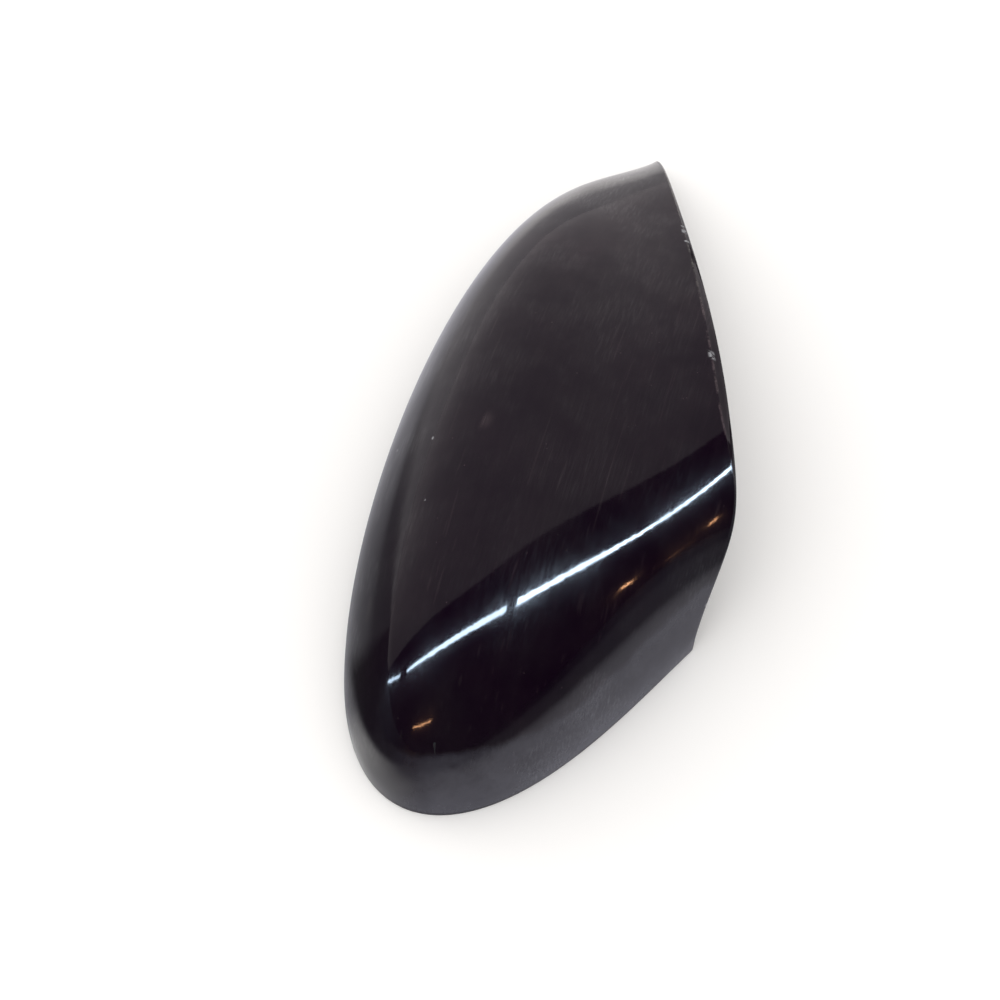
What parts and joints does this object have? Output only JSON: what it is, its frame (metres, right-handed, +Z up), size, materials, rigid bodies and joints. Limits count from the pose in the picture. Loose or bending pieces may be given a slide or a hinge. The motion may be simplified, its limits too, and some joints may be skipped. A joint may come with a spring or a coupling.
{
  "type": "wing mirror cover",
  "caption": "Freeform moulded shell for the back of a wing mirror, cut off by an arched edge, open below, with snap clips, locating pegs and ribs on its hidden side.",
  "frame": {"origin": "middle of the cover's plan, on the plane of its rim", "axes": "+X along the cover's length towards its inboard tip, +Y towards its long wall, +Z up through its crown"},
  "size_m": [0.254, 0.1079, 0.058],
  "materials": {
    "cover": "gloss black, moulded, lightly scratched"
  },
  "bodies": {
    "root": {"mirror_cover": "cover"}
  },
  "joints": []
}
